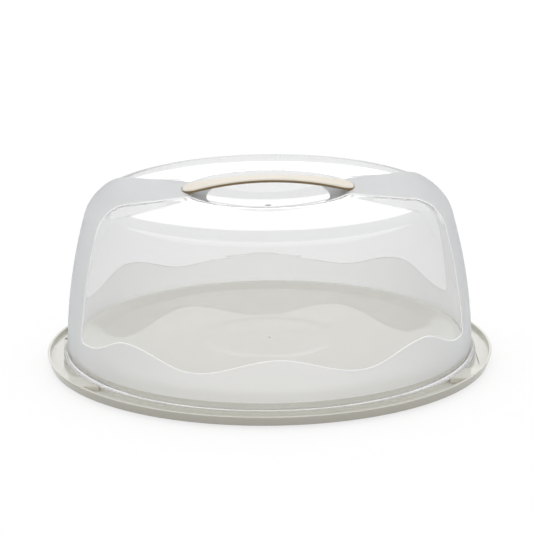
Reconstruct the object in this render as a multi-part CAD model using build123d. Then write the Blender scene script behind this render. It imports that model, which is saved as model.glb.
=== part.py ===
"""Cake carrier: a round serving tray, a clear dome lid and the grip strap that clips into its top.

Millimetres, +Z up. The origin is on the table, under the middle of the tray. The strap runs along X.
"""
from build123d import *
import math
import os

# Tray, one moulding
TRAY_R = 175.0
TRAY_SKIRT_R = 172.6
TRAY_SKIRT_Z = 2.5
TRAY_WALL = 2.0
LIP_Z = 10.0
LIP_EDGE = 0.8
LIP_INNER_R = 172.9
LIP_FOOT_R = 171.9
TROUGH_Z = 5.8
SEAT_Z = 8.6
SEAT_R = 160.0
PLATE_R = 151.0
PLATE_Z = 18.8
PLATE_FLAT_R = 132.0
PLATE_RIM_R = 147.0
PLATE_RIM_Z = 21.2
PLATE_RIM_ROUND = 1.6
MIDDLE_R = 51.0
MIDDLE_DROP = 0.5
FOOT_WIDTH = 2.6
DRAFT = 0.4
LUG_INNER_R = 162.2
LUG_END_Y = 90.7
LUG_NOTCH_Y = 48.0
LIP_END_Y = 65.0
SIDE_FLANGE_Z = 6.8
SIDE_POCKET_X = 161.8

# Dome, one moulding
DOME_WALL = 1.8
RIM_R = 161.9
RIM_TOP_Z = 10.6
RIM_FLARE = 1.6
RIM_CHAMFER = 0.4
FLARE_Z = 13.5
WALL_FOOT_R = 158.5
WALL_MID = (154.0, 70.0)
CROWN_CORNER = (139.6, 132.2)
CROWN_APEX_Z = 142.0
CROWN_SHOULDER_R = 14.0
BAND_LEVEL_Z = 139.8
BAND_SHOULDER_R = 28.2
FROST_STEP = 0.5
BAND_TOP_Z = BAND_LEVEL_Z + FROST_STEP

# Frosted bands over both sides, half width in plan at distances from the middle
BAND_EDGE = [
    (58.0, 21.6),
    (75.0, 27.8),
    (92.0, 34.2),
    (105.0, 39.0),
    (117.0, 42.6),
    (126.0, 46.2),
    (134.0, 50.4),
    (147.0, 57.0),
]
BAND_EDGE_ENDS = [(1.0, 0.36), (1.0, 0.50)]
BAND_BEYOND = (180.0, 73.5)
BAND_INNER_X = 40.0
FLANK_SPREAD = 9.0
FLANK_DROP = 9.0

# Waved edge of the frosted skirt, crests and dips along X
WAVE_EDGE = [(0.0, 48.6), (64.5, 36.4), (113.0, 49.6), (143.0, 35.6)]
WAVE_CORNER_R = 4.0

# Hand dish in the crown
DISH_HALF_X = 68.0
DISH_HALF_Y = 57.0
DISH_RIM_Z = BAND_TOP_Z
DISH_FLOOR_Z = 126.0
DISH_RIM_ROUND = 12.0
DISH_RIM_FLAT = 8.0

# Grip strap
STRAP_HALF_X = 67.0
STRAP_END_Z = 141.2
STRAP_TOP_Z = 149.1
STRAP_THICKNESS = 3.0
STRAP_WAIST_HALF_Y = 7.0
STRAP_WAIST_R = 400.0
STRAP_WAIST_X = 54.0
STRAP_CORNER_R = 8.5
STRAP_ROUND = 1.1
FOOT_X = (61.2, 66.2)
FOOT_HALF_Y = 6.5
FOOT_HEIGHT = 2.4
CLIP_X = (62.4, 64.8)
CLIP_HALF_Y = 5.0
CLIP_BOTTOM_Z = 132.0
CLIP_BARB = 1.2
BARB_RAMP = 1.6
CLIP_GAP = 0.3

# Seat for each end of the strap, let into the frosted band
SEAT_FLOOR_Z = 137.4
SEAT_GAP = 0.5
SEAT_BLOCK_X = (57.0, 69.7)
SEAT_BLOCK_HALF_Y = 15.2
SLOT_HEIGHT = 12.0

# Working sizes: the reach of a cutting block, a level below everything, and how far pieces sink together
ALL_ROUND = 400.0
BELOW_ALL_Z = -20.0
SINK = 1.0


def revolved(face):
    """Turn a half section in the XZ plane once about the Z axis."""
    return revolve(face, Axis.Z, 360)


def tray_section():
    """Half section of the tray, from the middle of the plate out to the lip and back underneath."""
    wall = TRAY_WALL
    skirt_inner_r = TRAY_SKIRT_R - wall
    foot_inner_r = PLATE_R - FOOT_WIDTH
    middle_z = PLATE_Z - MIDDLE_DROP
    outline = Polyline(
        (0, middle_z),
        (MIDDLE_R - MIDDLE_DROP, middle_z),
        (MIDDLE_R, PLATE_Z),
        (PLATE_FLAT_R, PLATE_Z),
        (PLATE_RIM_R, PLATE_RIM_Z),
        (PLATE_R, PLATE_RIM_Z),
        (PLATE_R, SEAT_Z),
        (SEAT_R - DRAFT, SEAT_Z),
        (SEAT_R, TROUGH_Z),
        (LIP_FOOT_R, TROUGH_Z),
        (LIP_INNER_R, LIP_Z),
        (TRAY_R, LIP_Z),
        (TRAY_R, LIP_Z - LIP_EDGE),
        (TRAY_SKIRT_R, TRAY_SKIRT_Z),
        (skirt_inner_r, TRAY_SKIRT_Z),
        (skirt_inner_r + DRAFT, TROUGH_Z - wall),
        (PLATE_R, TROUGH_Z - wall),
        (PLATE_R - DRAFT, 0),
        (foot_inner_r, 0),
        (foot_inner_r, PLATE_RIM_Z - wall - MIDDLE_DROP),
        (PLATE_FLAT_R, PLATE_Z - wall),
        (MIDDLE_R, PLATE_Z - wall),
        (MIDDLE_R - MIDDLE_DROP, middle_z - wall),
        (0, middle_z - wall),
        close=True,
    )
    face = make_face(outline)
    rim = face.vertices().sort_by_distance((PLATE_R, PLATE_RIM_Z, 0))[0]
    face = fillet(rim, PLATE_RIM_ROUND)
    return Plane.XZ * face


def ring_block(inner_r, outer_r, low, high):
    """Plain ring between two radii and two heights."""
    ring = Circle(outer_r) - Circle(inner_r)
    return extrude(Pos(0, 0, low) * ring, high - low)


def side_slice(low_y, high_y, low_x=0.0):
    """Tall block at +X that keeps only what lies between two distances from the X axis."""
    return Pos(low_x + ALL_ROUND / 2, (low_y + high_y) / 2, 0) * Box(ALL_ROUND, high_y - low_y, ALL_ROUND)


def four_corners(solid):
    """Copy a solid at +X +Y to the other three corners."""
    pair = solid + mirror(solid, Plane.XZ)
    return pair + mirror(pair, Plane.YZ)


def make_tray():
    """Serving tray: raised plate, seat and trough for the lid, four lugs and two side flanges."""
    tray = revolved(tray_section())
    low = TROUGH_Z - SINK
    outer_r = LIP_INNER_R + SINK
    lug = ring_block(LUG_INNER_R, outer_r, low, LIP_Z) & side_slice(LIP_END_Y, LUG_END_Y)
    hollow_ring = ring_block(LUG_INNER_R + TRAY_WALL, LIP_FOOT_R - SINK, low - TRAY_WALL, LIP_Z - TRAY_WALL)
    hollow = hollow_ring & side_slice(LIP_END_Y + TRAY_WALL, LUG_END_Y - TRAY_WALL)
    flange_ring = ring_block(SEAT_R - SINK, outer_r, low, SIDE_FLANGE_Z)
    flange = flange_ring & side_slice(-LIP_END_Y - SINK, LIP_END_Y + SINK, SIDE_POCKET_X)
    inside_lugs = extrude(Circle(LUG_INNER_R), ALL_ROUND) & side_slice(LUG_NOTCH_Y, LIP_END_Y + 2 * SINK)
    flange -= four_corners(inside_lugs)
    step = ring_block(LUG_INNER_R, outer_r, low, SIDE_FLANGE_Z) & side_slice(LUG_NOTCH_Y, LIP_END_Y + SINK)
    tray += flange + mirror(flange, Plane.YZ)
    tray += four_corners(step)
    tray += four_corners(lug)
    return tray - four_corners(hollow)


def wall_r(z):
    """Radius of the dome's bowed wall at a height: the circle through its foot, middle and top corner."""
    bow = ThreePointArc((WALL_FOOT_R, FLARE_Z), WALL_MID, CROWN_CORNER)
    centre = bow.arc_center
    return centre.X + math.sqrt(bow.radius**2 - (z - centre.Y) ** 2)


def bell_solid(corner_z, apex_z, shoulder_r, inset=0.0):
    """Solid bell under the dome's skin. inset moves the whole skin in by a wall thickness."""
    corner = (wall_r(corner_z - inset) - inset, corner_z - inset)
    apex = (0.0, apex_z - inset)
    wall = ThreePointArc((WALL_FOOT_R - inset, FLARE_Z), (WALL_MID[0] - inset, WALL_MID[1]), corner)
    rise = apex[1] - corner[1]
    if rise > 0:
        crown_r = (corner[0] ** 2 + rise**2) / (2 * rise)
        half_angle = math.asin(corner[0] / crown_r) / 2
        halfway = (crown_r * math.sin(half_angle), apex[1] - crown_r * (1 - math.cos(half_angle)))
        crown = ThreePointArc(corner, halfway, apex)
    else:
        crown = Line(corner, apex)
    rest = Polyline(apex, (0.0, BELOW_ALL_Z), (wall @ 0) + Vector(0, BELOW_ALL_Z - FLARE_Z), wall @ 0)
    face = make_face([wall, crown, rest])
    round_at = face.vertices().sort_by_distance((corner[0], corner[1], 0))[0]
    face = fillet(round_at, shoulder_r - inset)
    return revolved(Plane.XZ * face)


def band_outline(spread=0.0):
    """Plan outline of one frosted band at +X, wider by spread on both edges."""
    edge = [(x, y + spread) for x, y in BAND_EDGE]
    start = (BAND_INNER_X, BAND_EDGE[0][1] + spread)
    beyond = (BAND_BEYOND[0], BAND_BEYOND[1] + spread)
    upper = Spline(*edge, tangents=BAND_EDGE_ENDS)
    into = Line(start, edge[0])
    out = Line(edge[-1], beyond)
    half = [into, upper, out]
    other = [mirror(edge, Plane.XZ) for edge in half]
    ends = [Line((start[0], -start[1]), start), Line(beyond, (beyond[0], -beyond[1]))]
    return make_face(half + other + ends)


def both_ends(solid):
    """Add the mirror image of a solid at +X."""
    return solid + mirror(solid, Plane.YZ)


def saddle(inset=0.0):
    """Level ridge under each frosted band, with sloping flanks down to the crown."""
    low = Pos(0, 0, BAND_TOP_Z - FLANK_DROP) * band_outline(FLANK_SPREAD - inset)
    high = Pos(0, 0, BAND_TOP_Z + SINK) * band_outline(-inset)
    flanks = loft([low, high], ruled=True)
    level = bell_solid(BAND_LEVEL_Z, BAND_LEVEL_Z, BAND_SHOULDER_R, inset)
    return both_ends(flanks & level)


def window_plug():
    """Everything in front of, behind and above the frosted bands and skirt."""
    right = [(x, z) for x, z in WAVE_EDGE]
    left = [(-x, z) for x, z in reversed(WAVE_EDGE[1:])]
    wave = Spline(*left, *right, tangents=[(1, 0), (1, 0)])
    end_x, end_z = WAVE_EDGE[-1]
    top_z = BAND_TOP_Z + SINK
    far_x = end_x + WAVE_CORNER_R
    corner_z = end_z + WAVE_CORNER_R
    turn = RadiusArc((end_x, end_z), (far_x, corner_z), -WAVE_CORNER_R)
    frame = Polyline((far_x, corner_z), (far_x, top_z), (-far_x, top_z), (-far_x, corner_z))
    section = make_face([wave, turn, mirror(turn, Plane.YZ), frame])
    block = extrude(Plane.XZ * section, TRAY_R, both=True)
    band = extrude(Pos(0, 0, BELOW_ALL_Z) * band_outline(), ALL_ROUND)
    return block - both_ends(band)


def dish_solid(grow=0.0):
    """Shallow oval bowl and all above it. grow moves its surface out by a wall thickness."""
    half_y = DISH_HALF_Y + grow
    floor_z = DISH_FLOOR_Z - grow
    rise = DISH_RIM_Z - floor_z
    bowl_r = (half_y**2 + rise**2) / (2 * rise)
    half_angle = math.asin(half_y / bowl_r) / 2
    halfway = (bowl_r * math.sin(half_angle), floor_z + bowl_r * (1 - math.cos(half_angle)))
    bowl = ThreePointArc((0, floor_z), halfway, (half_y, DISH_RIM_Z))
    flat_r = half_y + DISH_RIM_FLAT
    top_z = DISH_RIM_Z + DISH_RIM_FLAT
    rest = Polyline((half_y, DISH_RIM_Z), (flat_r, DISH_RIM_Z), (flat_r, top_z), (0, top_z), (0, floor_z))
    face = make_face([bowl, rest])
    rim = face.vertices().sort_by_distance((half_y, DISH_RIM_Z, 0))[0]
    face = fillet(rim, DISH_RIM_ROUND + grow)
    round_dish = revolved(Plane.XZ * face)
    return scale(round_dish, by=(DISH_HALF_X / DISH_HALF_Y, 1, 1))


def strap_outline(grow=0.0):
    """Plan outline of the grip strap: hollow sides that run straight into rounded ends."""
    waist_x = STRAP_WAIST_X
    slope = waist_x / math.sqrt(STRAP_WAIST_R**2 - waist_x**2)
    waist_y = STRAP_WAIST_HALF_Y + STRAP_WAIST_R - math.sqrt(STRAP_WAIST_R**2 - waist_x**2) + grow
    end_x = STRAP_HALF_X + grow
    end_y = waist_y + slope * (end_x - waist_x)
    side = ThreePointArc((-waist_x, waist_y), (0, STRAP_WAIST_HALF_Y + grow), (waist_x, waist_y))
    half_end = Polyline((waist_x, waist_y), (end_x, end_y), (end_x, 0))
    upper = [side, half_end, mirror(half_end, Plane.YZ)]
    lower = [mirror(edge, Plane.XZ) for edge in upper]
    face = make_face(upper + lower)
    corners = [v for v in face.vertices() if abs(abs(v.X) - end_x) < SINK and abs(v.Y) > SINK]
    return fillet(corners, STRAP_CORNER_R + grow)


def strap_arc(drop=0.0):
    """Arc of the strap's top face in the XZ plane, moved down evenly by drop."""
    rise = STRAP_TOP_Z - STRAP_END_Z
    arc_r = (STRAP_HALF_X**2 + rise**2) / (2 * rise) - drop
    middle_z = STRAP_TOP_Z - drop
    reach = STRAP_HALF_X + SINK
    end_z = middle_z - arc_r + math.sqrt(arc_r**2 - reach**2)
    return ThreePointArc((-reach, end_z), (0, middle_z), (reach, end_z))


def make_strap():
    """Grip strap: a bowed band with a foot and a barbed clip under each end."""
    top = strap_arc()
    bottom = strap_arc(STRAP_THICKNESS)
    ends = [Line(top @ 0, bottom @ 0), Line(top @ 1, bottom @ 1)]
    bowed = extrude(Plane.XZ * make_face([top, bottom] + ends), ALL_ROUND / 2, both=True)
    strap = bowed & extrude(strap_outline(), ALL_ROUND)
    strap = fillet(strap.faces().sort_by(Axis.Z)[-1].edges(), STRAP_ROUND)
    foot_at = Pos((FOOT_X[0] + FOOT_X[1]) / 2, 0, SEAT_FLOOR_Z + FOOT_HEIGHT / 2)
    foot = foot_at * Box(FOOT_X[1] - FOOT_X[0], 2 * FOOT_HALF_Y, FOOT_HEIGHT)
    barb_x = CLIP_X[1] + CLIP_BARB
    barb_top_z = SEAT_FLOOR_Z - DOME_WALL - CLIP_GAP
    clip_side = Polyline(
        (CLIP_X[0], SEAT_FLOOR_Z + SINK),
        (CLIP_X[0], CLIP_BOTTOM_Z),
        (CLIP_X[1], CLIP_BOTTOM_Z),
        (barb_x, CLIP_BOTTOM_Z + BARB_RAMP),
        (barb_x, barb_top_z),
        (CLIP_X[1], barb_top_z),
        (CLIP_X[1], SEAT_FLOOR_Z + SINK),
        close=True,
    )
    clip = extrude(Plane.XZ * make_face(clip_side), CLIP_HALF_Y, both=True)
    return strap + both_ends(foot + clip)


def strap_seat(side):
    """Block under one end of the strap that carries the seat floor and its rim."""
    low_x, high_x = SEAT_BLOCK_X
    low_z = SEAT_FLOOR_Z - DOME_WALL
    middle = Pos(side * (low_x + high_x) / 2, 0, (low_z + BAND_TOP_Z) / 2)
    return middle * Box(high_x - low_x, 2 * SEAT_BLOCK_HALF_Y, BAND_TOP_Z - low_z)


def rim_ring():
    """Flat flange round the foot of the dome, flared up into the wall."""
    inner_r = WALL_FOOT_R - DOME_WALL / 2
    foot_r = WALL_FOOT_R + FROST_STEP / 2
    outline = Polyline(
        (inner_r, SEAT_Z),
        (RIM_R, SEAT_Z),
        (RIM_R, RIM_TOP_Z),
        (foot_r, RIM_TOP_Z),
        (foot_r, FLARE_Z + SINK),
        (inner_r, FLARE_Z + SINK),
        close=True,
    )
    face = make_face(outline)
    flare = face.vertices().sort_by_distance((foot_r, RIM_TOP_Z, 0))[0]
    face = chamfer(flare, RIM_FLARE)
    edge = face.vertices().sort_by_distance((RIM_R, RIM_TOP_Z, 0))[0]
    face = chamfer(edge, RIM_CHAMFER)
    return revolved(Plane.XZ * face)


def make_dome():
    """Dome lid: clear bell with a hand dish, frosted bands and skirt, and seats for the strap."""
    corner_z = CROWN_CORNER[1]
    crown = bell_solid(corner_z, CROWN_APEX_Z, CROWN_SHOULDER_R)
    frost = bell_solid(BAND_LEVEL_Z, BAND_LEVEL_Z, BAND_SHOULDER_R, -FROST_STEP) - window_plug()
    outer = crown + saddle() + frost
    inner = bell_solid(corner_z, CROWN_APEX_Z, CROWN_SHOULDER_R, DOME_WALL) + saddle(DOME_WALL)
    below = Pos(0, 0, SEAT_Z - ALL_ROUND / 2) * Box(ALL_ROUND, ALL_ROUND, ALL_ROUND)
    dome = outer - inner - below
    dome += dish_solid(DOME_WALL) & outer
    dome += strap_seat(1) & outer
    dome += strap_seat(-1) & outer
    dome -= dish_solid()
    dome -= Pos(0, 0, SEAT_FLOOR_Z) * extrude(strap_outline(SEAT_GAP), ALL_ROUND)
    slot_x = (CLIP_X[0] + CLIP_X[1]) / 2
    slot_size = (CLIP_X[1] - CLIP_X[0] + 2 * CLIP_GAP, 2 * CLIP_HALF_Y + 2 * CLIP_GAP, SLOT_HEIGHT)
    dome -= both_ends(Pos(slot_x, 0, SEAT_FLOOR_Z) * Box(*slot_size))
    return dome + rim_ring()


if __name__ == "__main__":
    os.makedirs("parts", exist_ok=True)
    export_step(make_tray(), "parts/tray.step")
    export_step(make_dome(), "parts/dome.step")
    export_step(make_strap(), "parts/grip_strap.step")
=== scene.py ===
"""Dressing of a round cake carrier: serving tray, clear dome lid and bowed grip strap.

Sizes are millimetres, as on a moulder's drawing, and become metres as each mesh is built.
"""

import logging
import math
from dataclasses import dataclass
from enum import Enum, IntEnum
from typing import Callable, Sequence

import bmesh
import bpy
import numpy as np
from bpy.types import Material, Mesh, Node, NodeSocket, NodeTree, Object
from mathutils import Matrix, Vector


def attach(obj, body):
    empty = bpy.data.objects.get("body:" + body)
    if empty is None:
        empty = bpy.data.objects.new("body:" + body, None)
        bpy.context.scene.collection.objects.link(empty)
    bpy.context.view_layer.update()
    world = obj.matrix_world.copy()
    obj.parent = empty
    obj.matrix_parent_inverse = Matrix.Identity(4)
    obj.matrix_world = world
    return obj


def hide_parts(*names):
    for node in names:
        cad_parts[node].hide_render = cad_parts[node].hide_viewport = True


LOG = logging.getLogger("cake_carrier")
MM = 0.001
OUTSIDE = -50.0  # a field's value where its zone can't be
JOIN_MM = 0.004
THIN_MM = 0.002
HOLE_SIDES = 6
TURN_NUDGE = 2e-4  # step for surface normals
EDGE_NUDGE = 1e-4  # step for slopes of a zone's edge
TINY = 1e-6
RUN_STEPS = 80
EDGE_REACH = 0.02  # how near a zone's edge a point counts as on it
POLE = 0.02  # so near the axis that the skin faces straight up
SLOPED_SPAN = (0.05, 2.98)  # places on the skin where a riser may slope
CUT_PASSES = 5
HALVINGS = 16
SETTLE_PASSES = 4
WHITE = (1.0, 1.0, 1.0, 1.0)
Array = np.ndarray
Field = Callable[[Array, Array], Array]

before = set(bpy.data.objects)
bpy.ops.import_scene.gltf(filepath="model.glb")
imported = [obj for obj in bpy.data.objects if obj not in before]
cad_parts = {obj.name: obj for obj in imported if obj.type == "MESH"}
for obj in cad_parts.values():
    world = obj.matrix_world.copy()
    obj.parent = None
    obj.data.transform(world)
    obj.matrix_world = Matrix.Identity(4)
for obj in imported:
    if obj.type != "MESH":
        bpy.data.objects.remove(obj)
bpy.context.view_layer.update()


def linear(hex_code: str) -> tuple[float, float, float, float]:
    """Turn an sRGB hex colour into the linear colour that a shader socket takes.

    Args:
        hex_code: Six hex digits, such as "E9E8E2".

    Returns:
        Linear red, green, blue and an alpha of 1.
    """
    parts = [int(hex_code[i : i + 2], 16) / 255 for i in (0, 2, 4)]
    out = [p / 12.92 if p <= 0.04045 else ((p + 0.055) / 1.055) ** 2.4 for p in parts]
    return out[0], out[1], out[2], 1.0


def smooth_max(first: Array, second: Array, width: float) -> Array:
    """The larger of two fields, with their crossing rounded.

    Args:
        first: One field.
        second: The other field.
        width: Difference between the fields under which the crossing is rounded.

    Returns:
        The rounded maximum.
    """
    gap = np.maximum(width - np.abs(first - second), 0.0)
    return np.maximum(first, second) + gap**2 / (4 * width)


def smooth_min(first: Array, second: Array, width: float) -> Array:
    """The smaller of two fields, with their crossing rounded, as smooth_max does for the larger."""
    return -smooth_max(-first, -second, width)


def smooth_step(share: Array) -> Array:
    """Ease from 0 to 1 as share goes from 0 to 1."""
    t = np.clip(share, 0.0, 1.0)
    return t * t * (3 - 2 * t)


def eased_curve(points: Sequence[tuple[float, float]]) -> Callable[[Array], Array]:
    """A smooth curve through a few points, flat beyond its ends.

    Args:
        points: Places and values, in rising order of place.

    Returns:
        A function that gives the curve's value at any places.
    """
    at, value = np.array(points).T
    slope = np.gradient(value, at)

    def curve(place: Array) -> Array:
        """Work out the curve.

        Args:
            place: Where along it.

        Returns:
            Its values there.
        """
        q = np.clip(place, at[0], at[-1])
        k = np.clip(np.searchsorted(at, q, side="right") - 1, 0, len(at) - 2)
        span = at[k + 1] - at[k]
        t = (q - at[k]) / span
        start = value[k] * (1 + 2 * t) * (1 - t) ** 2 + slope[k] * span * t * (1 - t) ** 2
        return start + value[k + 1] * t * t * (3 - 2 * t) + slope[k + 1] * span * t * t * (t - 1)

    return curve


def circle_through(
    p: tuple[float, float], q: tuple[float, float], s: tuple[float, float]
) -> tuple[float, float, float]:
    """Centre and radius of the circle through three points.

    Args:
        p: First point.
        q: Second point.
        s: Third point.

    Returns:
        Centre's two coordinates and the radius.
    """
    a = np.array([[q[0] - p[0], q[1] - p[1]], [s[0] - p[0], s[1] - p[1]]])
    b = [(end[0] ** 2 - p[0] ** 2 + end[1] ** 2 - p[1] ** 2) / 2 for end in (q, s)]
    x, y = np.linalg.solve(a, b)
    return float(x), float(y), math.hypot(p[0] - x, p[1] - y)


def arc_radius(half: float, rise: float) -> float:
    """Radius of an arc from half its width and its rise."""
    return (half**2 + rise**2) / (2 * rise)


def unit(way: Array) -> Array:
    """A direction of length 1."""
    return way / np.linalg.norm(way)


def rounded_path(corners: Sequence[tuple[float, float, float]], steps: int = 5) -> Array:
    """A section line whose corners are rounded by small arcs.

    Args:
        corners: Radius, height and corner rounding of each corner.
        steps: Segments in each rounded corner.

    Returns:
        The points along the line.
    """
    out = []
    for k, (r, z, size) in enumerate(corners):
        here = np.array([r, z])
        if size <= 0 or k in (0, len(corners) - 1):
            out.append(here)
            continue
        back = unit(np.array(corners[k - 1][:2]) - here)
        ahead = unit(np.array(corners[k + 1][:2]) - here)
        half = math.acos(np.clip(back @ ahead, -1, 1)) / 2
        reach = size / math.tan(half)
        middle = here + (back + ahead) / np.linalg.norm(back + ahead) * size / math.sin(half)
        start, end = here + back * reach - middle, here + ahead * reach - middle
        for t in np.linspace(0, 1, steps + 1):
            spoke = start * (1 - t) + end * t
            out.append(middle + spoke / np.linalg.norm(spoke) * size)
    return np.array(out)


def divided(path: Array, longest: Callable[[Array], float]) -> Array:
    """Divide the long runs of a path.

    Args:
        path: The points along the path.
        longest: The longest step allowed at a point.

    Returns:
        The points with more between them.
    """
    out = [path[0]]
    for start, end in zip(path[:-1], path[1:]):
        count = max(1, math.ceil(np.linalg.norm(end - start) / longest((start + end) / 2)))
        out += [start + (end - start) * k / count for k in range(1, count + 1)]
    return np.array(out)


def differences(of: Field, angle: Array, place: Array, nudge: float) -> list[Array]:
    """How much a function changes over a small step both ways.

    Args:
        of: The function of angle and place.
        angle: Angles round the axis.
        place: Places along the section.
        nudge: The step to either side.

    Returns:
        The change along the angle, then along the place.
    """
    steps = ((nudge, 0.0), (0.0, nudge))
    return [of(angle + turn, place + run) - of(angle - turn, place - run) for turn, run in steps]


class PolarSheet:
    """A closed moulded skin on a grid of turns round the axis and stations along its section.

    Boundaries between zones are cut exactly: the grid's nearest corners are moved onto them.
    """

    def __init__(self, turns: int, stations: Array) -> None:
        """Lay out the grid.

        Args:
            turns: Number of steps round the axis.
            stations: Rising values of the section's parameter.
        """
        angles = np.arange(turns) * 2 * math.pi / turns
        self.angle, self.station = np.meshgrid(angles, stations, indexing="ij")
        self.turns = turns
        self.count = len(stations)
        self.held = np.zeros(self.angle.shape, bool)
        self.held[:, [0, -1]] = True
        index = np.arange(self.angle.size).reshape(self.angle.shape)
        wrap = np.zeros(index.shape)
        wrap[-1, :] = 2 * math.pi
        # Start corners, end corners and the end corners' extra turn, of the edges that run round the
        # axis and of those that run along the section.
        self.edges = (
            (index.ravel(), np.roll(index, -1, axis=0).ravel(), wrap.ravel()),
            (index[:, :-1].ravel(), index[:, 1:].ravel(), np.zeros(index[:, 1:].size)),
        )
        self.fields: list[Field] = []
        self.on_edge: list[Array] = []

    def cut(self, field: Field) -> None:
        """Move the grid's nearest corners onto the line where a field is zero.

        Args:
            field: Positive inside the zone and negative outside, in millimetres.
        """
        on = np.zeros(self.angle.shape, bool)
        for _ in range(CUT_PASSES):
            value = field(self.angle, self.station)
            value[on] = 0.0
            moves = [self._crossings(axis, field, value) for axis in (0, 1)]
            where, shift, angle, station = (np.concatenate(part) for part in zip(*moves))
            if not where.size:
                break
            order = np.argsort(-shift, kind="stable")
            where = where[order]
            self.angle.ravel()[where] = angle[order]
            self.station.ravel()[where] = station[order]
            on.ravel()[where] = True
        self.held |= on
        self.fields.append(field)
        self.on_edge.append(on)

    def _crossings(self, axis: int, field: Field, value: Array) -> tuple[Array, Array, Array, Array]:
        """Find the corners to move onto the line where a field is zero.

        Args:
            axis: 0 for edges round the axis, 1 for edges along the section.
            field: The field.
            value: Its value at each corner, 0 where a corner is on the line already.

        Returns:
            The corners, how far they move, and their new angles and stations.
        """
        start, end, wrap = self.edges[axis]
        angle, station, held = self.angle.ravel(), self.station.ravel(), self.held.ravel()
        flat = value.ravel()
        cross = (flat[start] * flat[end] < 0) & ~(held[start] & held[end])
        start, end, wrap = start[cross], end[cross], wrap[cross]
        low, high = np.zeros(start.size), np.ones(start.size)
        turn, run = angle[end] + wrap - angle[start], station[end] - station[start]
        for _ in range(HALVINGS):
            mid = (low + high) / 2
            sign = field(angle[start] + mid * turn, station[start] + mid * run) * flat[start]
            low, high = np.where(sign > 0, mid, low), np.where(sign > 0, high, mid)
        share = (low + high) / 2
        near_start = np.where(held[start], False, np.where(held[end], True, share < 0.5))
        where = np.where(near_start, start, end)
        shift = np.where(near_start, share, 1 - share)
        new_angle = angle[start] + share * turn - np.where(near_start, 0, wrap)
        return where, shift, new_angle, station[start] + share * run

    def build(
        self, name: str, place: Callable[[Array, Array, int], Array], zone_of: Field, riser_slot: int = 0
    ) -> Object:
        """Make the mesh object, with a riser wherever two zones stand at different heights.

        Args:
            name: The piece's name.
            place: Points in millimetres for angles, stations and a zone.
            zone_of: Zone of each face from its field signs and its middle station.
            riser_slot: Material index of the risers.

        Returns:
            The object, whose faces hold their zone as material index.
        """
        faces, zones = self._faces(zone_of)
        risers = self._risers(faces, zones)
        keys: dict[tuple[int, int], int] = {}
        corners = [[keys.setdefault((int(c), z), len(keys)) for c in f] for f, z in zip(faces, zones)]
        corners += [[keys.setdefault(pair, len(keys)) for pair in riser] for riser in risers]
        owner = np.array(list(keys))
        points = np.zeros((len(keys), 3))
        angle, station = self.angle.ravel(), self.station.ravel()
        for zone in np.unique(owner[:, 1]):
            pick = owner[:, 1] == zone
            at = owner[pick, 0]
            points[pick] = place(angle[at], station[at], int(zone))
        mesh = bpy.data.meshes.new(name)
        mesh.from_pydata(points * MM, [], corners)
        slots = np.array(zones + [riser_slot] * len(risers), dtype=np.int32)
        mesh.polygons.foreach_set("material_index", slots)
        tidy_mesh(mesh)
        return new_object(name, mesh)

    def _faces(self, zone_of: Field) -> tuple[list[Sequence[int]], list[int]]:
        """Make all faces, split where a boundary runs across them.

        Args:
            zone_of: Zone of each face from its field signs and its middle station.

        Returns:
            Each face's grid corners, and each face's zone.
        """
        index = np.arange(self.angle.size).reshape(self.angle.shape)
        ahead = np.roll(index, -1, axis=0)
        quads = np.stack([index[:, :-1], index[:, 1:], ahead[:, 1:], ahead[:, :-1]], axis=-1).reshape(-1, 4)
        values = [field(self.angle, self.station) for field in self.fields]
        signs = [np.where(on, 0, np.sign(value)).ravel() for value, on in zip(values, self.on_edge)]
        signs = np.array(signs, dtype=int)
        corner = signs[:, quads]
        even, odd = corner[..., 0::2], corner[..., 1::2]
        split_a = np.any(np.all(even == 0, axis=-1) & (odd.prod(axis=-1) < 0), axis=0)
        split_b = np.any(np.all(odd == 0, axis=-1) & (even.prod(axis=-1) < 0), axis=0)
        whole = quads[~(split_a | split_b)]
        first, second = quads[split_a], quads[split_b & ~split_a]
        halves = ((first, [0, 1, 2]), (first, [2, 3, 0]), (second, [1, 2, 3]), (second, [3, 0, 1]))
        triangles = np.concatenate([group[:, pick] for group, pick in halves])
        faces: list[Sequence[int]] = []
        zones: list[int] = []
        for group in (whole, triangles):
            if len(group):
                side = np.sign(signs[:, group].sum(axis=-1))
                middle = self.station.ravel()[group].mean(axis=-1)
                zones += [int(z) for z in zone_of(side, middle)]
                faces += [tuple(int(c) for c in face) for face in group]
        return faces, zones

    def _risers(self, faces: list[Sequence[int]], zones: list[int]) -> list[list[tuple[int, int]]]:
        """Make a four-cornered riser along every edge that two zones share.

        Args:
            faces: Each face's grid corners.
            zones: Each face's zone.

        Returns:
            The risers' corners, each a grid corner and a zone.
        """
        seen: dict[tuple[int, int], int] = {}
        risers = []
        for face, zone in zip(faces, zones):
            for p, q in zip(face, list(face[1:]) + [face[0]]):
                other = seen.pop((q, p), None)
                if other is None:
                    seen[(p, q)] = zone
                elif other != zone:
                    risers.append([(q, zone), (p, zone), (p, other), (q, other)])
        return risers


def tidy_mesh(mesh: Mesh, sharp_degrees: float = 38.0) -> None:
    """Join doubled corners, drop empty faces and shade smooth between sharp edges.

    Args:
        mesh: The mesh to tidy, in place.
        sharp_degrees: Angle over which an edge stays crisp.
    """
    work = bmesh.new()
    work.from_mesh(mesh)
    bmesh.ops.remove_doubles(work, verts=work.verts, dist=JOIN_MM * MM)
    bmesh.ops.dissolve_degenerate(work, edges=work.edges, dist=THIN_MM * MM)
    loose = [e for e in work.edges if e.is_boundary]
    if loose:
        bmesh.ops.holes_fill(work, edges=loose, sides=HOLE_SIDES)
    for face in work.faces:
        face.smooth = True
    limit = math.radians(sharp_degrees)
    for edge in work.edges:
        edge.smooth = len(edge.link_faces) == 2 and edge.calc_face_angle(0.0) < limit
    work.to_mesh(mesh)
    work.free()


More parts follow.
